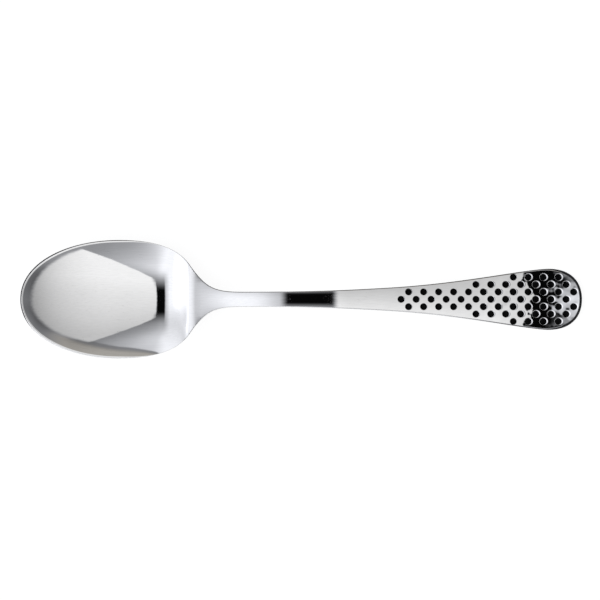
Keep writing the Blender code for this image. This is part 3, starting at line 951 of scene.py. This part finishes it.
def make_floor(settings):
    """A pale floor that the lens sees as white, with the spoon's soft shadow on it.

    In the steel's reflections it shows a painted reflection instead: dark, apart from a painted bright,
    glowing side in front of the spoon.
    """
    look = FloorLook
    material, shader, tree = start_material("pale_floor")
    tree.tree.nodes.remove(shader)
    seen = tree.node("ShaderNodeLightPath", out="Is Camera Ray")
    mirrored = tree.node("ShaderNodeLightPath", out="Is Glossy Ray")
    place = tree.node("ShaderNodeTexCoord", out="Object")
    cloudy = [channel * look.CLOUD_TONE for channel in settings.floor]
    tone = place.noise(look.CLOUDS).mix((*settings.floor, 1), (*cloudy, 1))
    plain = tree.node("ShaderNodeBsdfDiffuse", None, {"Color": tone})
    faint = tree.node("ShaderNodeBsdfDiffuse", None, {"Color": look.SHADOW})
    glow = tree.node("ShaderNodeEmission", None, {"Color": WHITE, "Strength": look.GLOW})
    white = tree.node("ShaderNodeAddShader", None, {0: faint, 1: glow})
    along, across = place.parts()[:2]
    # Painted reflection: the bright side that the steel's reflections see in front of the spoon, glowing
    # though it is no lamp
    side = (-across - look.SLANT * (look.SLANT_FROM - along).above(0.0)).ease(*look.SIDE)
    side = side * along.ease(*look.SIDE_END)
    painted_reflection_tone = tree.node("ShaderNodeBsdfDiffuse", None, {"Color": side.mix(look.DARK, look.BRIGHT)})
    painted_reflection_glow = tree.node("ShaderNodeEmission", None, {"Color": side.mix(BLACK, look.LIT), "Strength": 1.0})
    painted_reflection = tree.node("ShaderNodeAddShader", None, {0: painted_reflection_tone, 1: painted_reflection_glow})
    shaded = tree.node("ShaderNodeMixShader", None, {0: mirrored, 1: plain, 2: painted_reflection})
    surface = tree.node("ShaderNodeMixShader", None, {0: seen, 1: shaded, 2: white})
    link(surface, tree.tree.nodes["Material Output"].inputs["Surface"])
    return material


class StudioSky:
    """Light of the studio's parts, and their edges: a pair is where one begins and where it is full"""

    LEAST_UP = 0.02  # keeps places near the horizon finite
    LEAST = 0.002
    # Walls: bright left of a line that slants both ways, dim beyond it, and dark to the right
    DARK, DIM, BRIGHT = 0.04, 0.24, 0.7
    DIM_EDGE, BRIGHT_EDGE = (1.03, 0.342), (0.4, 0.08)
    NEAR_SLANT, FAR_SLANT = 0.509, 0.452
    LEFT_GLOW, LEFT_EDGE, LEFT_NEAR = 0.4, (-0.3, -0.5), (0.15, -0.05)
    FAR_LOSS, FAR_FROM, FAR_TO = 0.528, (-0.01, 0.34), (0.931, -0.255)
    FAR_LIFT, FAR_LIFT_EDGE = 0.75, (0.24, 0.36)
    FAR_GLOW, GLOW_Y, GLOW_X = 0.22, (0.28, 0.42), (-0.05, 0.06, 0.16, 0.22)
    END_LOSS, END_EDGE = 0.95, (0.52, 0.64)
    CORNER_LIFT, CORNER_EDGE = 0.5, (0.3, 0.5)
    # A warm backdrop on the far side, beyond a slanting seam
    BACKDROP, BACKDROP_SLANT, BACKDROP_EDGE = 0.345, 2.04, (1.66, 1.74)
    BACKDROP_FROM, BACKDROP_RIGHT = (0.2, 0.3), (0.3, 0.22)
    SEAM_LOSS, SEAM, SEAM_RIGHT = 0.4, (1.66, 1.72, 1.76, 2.0), (0.24, 0.19)
    WARM_EDGE, WARM, COOL = (1.74, 1.94), (1.05, 1.0, 0.93, 1), (0.975, 0.988, 1.03, 1)
    # The dark gap overhead and the shade round it
    GAP_X, GAP_Y = (-0.11, -0.07, 0.26, 0.36), (-0.29, -0.08, 0.12, 0.31)
    SHADE_LOSS, SHADE_X, SHADE_Y = 0.493, (-0.245, -0.06), (-0.384, -0.202, 0.252, 0.528)
    SHADE_LIFT, LIFT_X, LIFT_Y = 0.7, (0.17, 0.27), (0.05, 0.2)
    # The soft panel right of the gap: its light, and its edges on the ceiling
    PANEL, PANEL_FADE, FADE_NEAR, FADE_FAR = 0.7515, 0.7316, -0.185, 0.3
    PANEL_LOSS, LOSS_EDGE = 1.15, (0.14, 0.5)
    PANEL_LEFT, PANEL_RIGHT = (0.109, 0.141), (0.739, 0.679)
    PANEL_NEAR, PANEL_FAR = (0.346, 0.306), (0.272, 0.232)
    NEAR_SPREAD, FAR_SPREAD = 1.846, 1.616  # how far the near and far sides spread to the right
    BEND_AT, NEAR_BEND, FAR_BEND = 0.3, 0.6, 0.3  # where and how much they bend
    BOW, FAR_BOW = 0.18, 0.19  # of the right edge, and what its far half adds
    HORIZON = (0.0, 0.1)


def wall_light(x, y, slant, behind):
    """Light of everything but the panel, at a place of the flattened sky."""
    sky = StudioSky
    slanted = x + sky.NEAR_SLANT * (-y).above(0.0) + sky.FAR_SLANT * y.above(0.0)
    light = sky.DARK + sky.DIM * x.ease(*sky.DIM_EDGE) + sky.BRIGHT * slanted.ease(*sky.BRIGHT_EDGE)
    far = y.ease(*sky.FAR_FROM) * y.ease(*sky.FAR_TO) * (1 - sky.FAR_LIFT * x.ease(*sky.FAR_LIFT_EDGE))
    end = x.ease(*sky.END_EDGE) * (sky.END_LOSS - sky.CORNER_LIFT * abs(y).ease(*sky.CORNER_EDGE))
    glow = y.ease(*sky.GLOW_Y) * x.window(*sky.GLOW_X)
    light = light * (1 - sky.FAR_LOSS * far) * (1 - end) * (1 + sky.FAR_GLOW * glow)
    light = light + (sky.BACKDROP - light) * slant.ease(*sky.BACKDROP_EDGE) * behind
    seam = slant.window(*sky.SEAM) * behind * x.ease(*sky.SEAM_RIGHT)
    gap = x.window(*sky.GAP_X) * y.window(*sky.GAP_Y)
    shade = x.ease(*sky.SHADE_X) * y.window(*sky.SHADE_Y)
    shade = shade * (1 - sky.SHADE_LIFT * x.ease(*sky.LIFT_X) * y.ease(*sky.LIFT_Y))
    left = x.ease(*sky.LEFT_EDGE) * y.ease(*sky.LEFT_NEAR)
    light = light * (1 - sky.SEAM_LOSS * seam) * (1 - gap) * (1 - sky.SHADE_LOSS * shade)
    return light * (1 + sky.LEFT_GLOW * left)


def panel_share(u, v, up):
    """1 inside the soft panel, which has bent sides and a bowed right edge."""
    sky = StudioSky
    bend = (sky.BEND_AT - u).above(0.0)
    near = (-v - sky.NEAR_SPREAD * u + sky.NEAR_BEND * bend).ease(*sky.PANEL_NEAR)
    far = (v - sky.FAR_SPREAD * u + sky.FAR_BEND * bend).ease(*sky.PANEL_FAR)
    far_half = v.above(0.0)
    right = (u + sky.BOW * v * v + sky.FAR_BOW * far_half * far_half).ease(*sky.PANEL_RIGHT)
    return u.ease(*sky.PANEL_LEFT) * near * far * right * up.ease(*sky.HORIZON)


def make_light(settings):
    """Soft white walls and a panel, with a dark gap overhead and a dim side to the right.

    x and y flatten the sky so that overhead is 0 and the horizon is 1 away; u and v are places on a
    level ceiling one metre up.
    """
    sky = StudioSky
    world = bpy.data.worlds.new("studio_light")
    world.use_nodes = True
    tree = Shade(world.node_tree)
    along, across, up = tree.node("ShaderNodeTexCoord", out="Generated").parts()
    height = (1 + up).above(sky.LEAST_UP)
    x = along / height
    y = across / height
    u = along / up.above(sky.LEAST_UP)
    v = across / up.above(sky.LEAST_UP)
    slant = v + sky.BACKDROP_SLANT * u
    behind = y.ease(*sky.BACKDROP_FROM) * x.ease(*sky.BACKDROP_RIGHT)
    wall = wall_light(x, y, slant, behind)
    panel = sky.PANEL - sky.PANEL_FADE * y.above(sky.FADE_NEAR).below(sky.FADE_FAR)
    panel = panel * (1 - sky.PANEL_LOSS * x.ease(*sky.LOSS_EDGE))
    inside = panel_share(u, v, up)
    light = (wall + (panel - wall) * inside + sky.LEAST) * settings.light
    seen = tree.node("ShaderNodeLightPath", out="Is Camera Ray")
    background = world.node_tree.nodes["Background"]
    link(light * (1 - seen) + seen, background.inputs["Strength"])
    walls = (slant.ease(*sky.WARM_EDGE) * behind).mix(sky.COOL, sky.WARM)
    link(inside.above(seen).mix(walls, WHITE), background.inputs["Color"])
    return world


class SPOON_OT_steel(bpy.types.Operator):
    """Builds the polished steel spoon"""

    bl_idname = "spoon.steel"
    bl_label = "Steel spoon"

    def execute(self, context):
        surface = SpoonSurface(context.scene.spoon_shape)
        body = make_body(surface, make_steel(context.scene.steel_finish))
        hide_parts(STEEL_NODE)
        return {"FINISHED"}


class SPOON_OT_dots(bpy.types.Operator):
    """Builds the enamel dots of the handle"""

    bl_idname = "spoon.dots"
    bl_label = "Enamel dots"

    def execute(self, context):
        surface = SpoonSurface(context.scene.spoon_shape)
        finish = context.scene.enamel_finish
        material = make_enamel(finish)
        for name, station, across in surface.dots():
            dot = make_dot(surface, name, station, across, finish.dish, material)
            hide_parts(name)
        return {"FINISHED"}


class SPOON_OT_studio(bpy.types.Operator):
    """Builds the floor, the light and the camera"""

    bl_idname = "spoon.studio"
    bl_label = "Studio"

    def execute(self, context):
        scene = context.scene
        settings = scene.studio_settings
        mesh = bpy.data.meshes.new("pale_floor")
        corners = [(FLOOR_REACH * x, FLOOR_REACH * y, 0) for x, y in ((-1, -1), (1, -1), (1, 1), (-1, 1))]
        mesh.from_pydata(corners, [], [(0, 1, 2, 3)])
        mesh.materials.append(make_floor(settings))
        floor = bpy.data.objects.new("pale_floor", mesh)
        floor.location.z = -FLOOR_GAP
        scene.collection.objects.link(floor)
        scene.world = make_light(settings)
        camera_data = bpy.data.cameras.new("overhead_camera")
        camera_data.lens = settings.lens
        camera_data.clip_end = SIGHT
        camera = bpy.data.objects.new("overhead_camera", camera_data)
        camera.location = (settings.camera_x, settings.camera_y, settings.camera_height)
        scene.collection.objects.link(camera)
        scene.camera = camera
        scene.view_settings.view_transform = "Standard"
        return {"FINISHED"}


class SPOON_PT_panel(bpy.types.Panel):
    """Lists the spoon's sizes, finishes and builders"""

    bl_idname = "SPOON_PT_panel"
    bl_label = "Dessert spoon"
    bl_space_type = "VIEW_3D"
    bl_region_type = "UI"
    bl_category = "Spoon"

    def draw(self, context):
        layout = self.layout
        for group in SETTINGS:
            settings = getattr(context.scene, group)
            box = layout.box()
            for name in settings.__annotations__:
                box.prop(settings, name)
        for builder in BUILDERS:
            layout.operator(builder.bl_idname)


SETTINGS = {
    "spoon_shape": SpoonShape,
    "steel_finish": SteelFinish,
    "enamel_finish": EnamelFinish,
    "studio_settings": StudioSettings,
}
BUILDERS = (SPOON_OT_steel, SPOON_OT_dots, SPOON_OT_studio)
CLASSES = (*SETTINGS.values(), *BUILDERS, SPOON_PT_panel)


def register():
    for cls in CLASSES:
        bpy.utils.register_class(cls)
    for name, cls in SETTINGS.items():
        setattr(bpy.types.Scene, name, PointerProperty(type=cls))


def unregister():
    for name in SETTINGS:
        delattr(bpy.types.Scene, name)
    for cls in reversed(CLASSES):
        bpy.utils.unregister_class(cls)


def main():
    register()
    bpy.ops.spoon.steel()
    bpy.ops.spoon.dots()
    bpy.ops.spoon.studio()


if __name__ == "__main__":
    main()
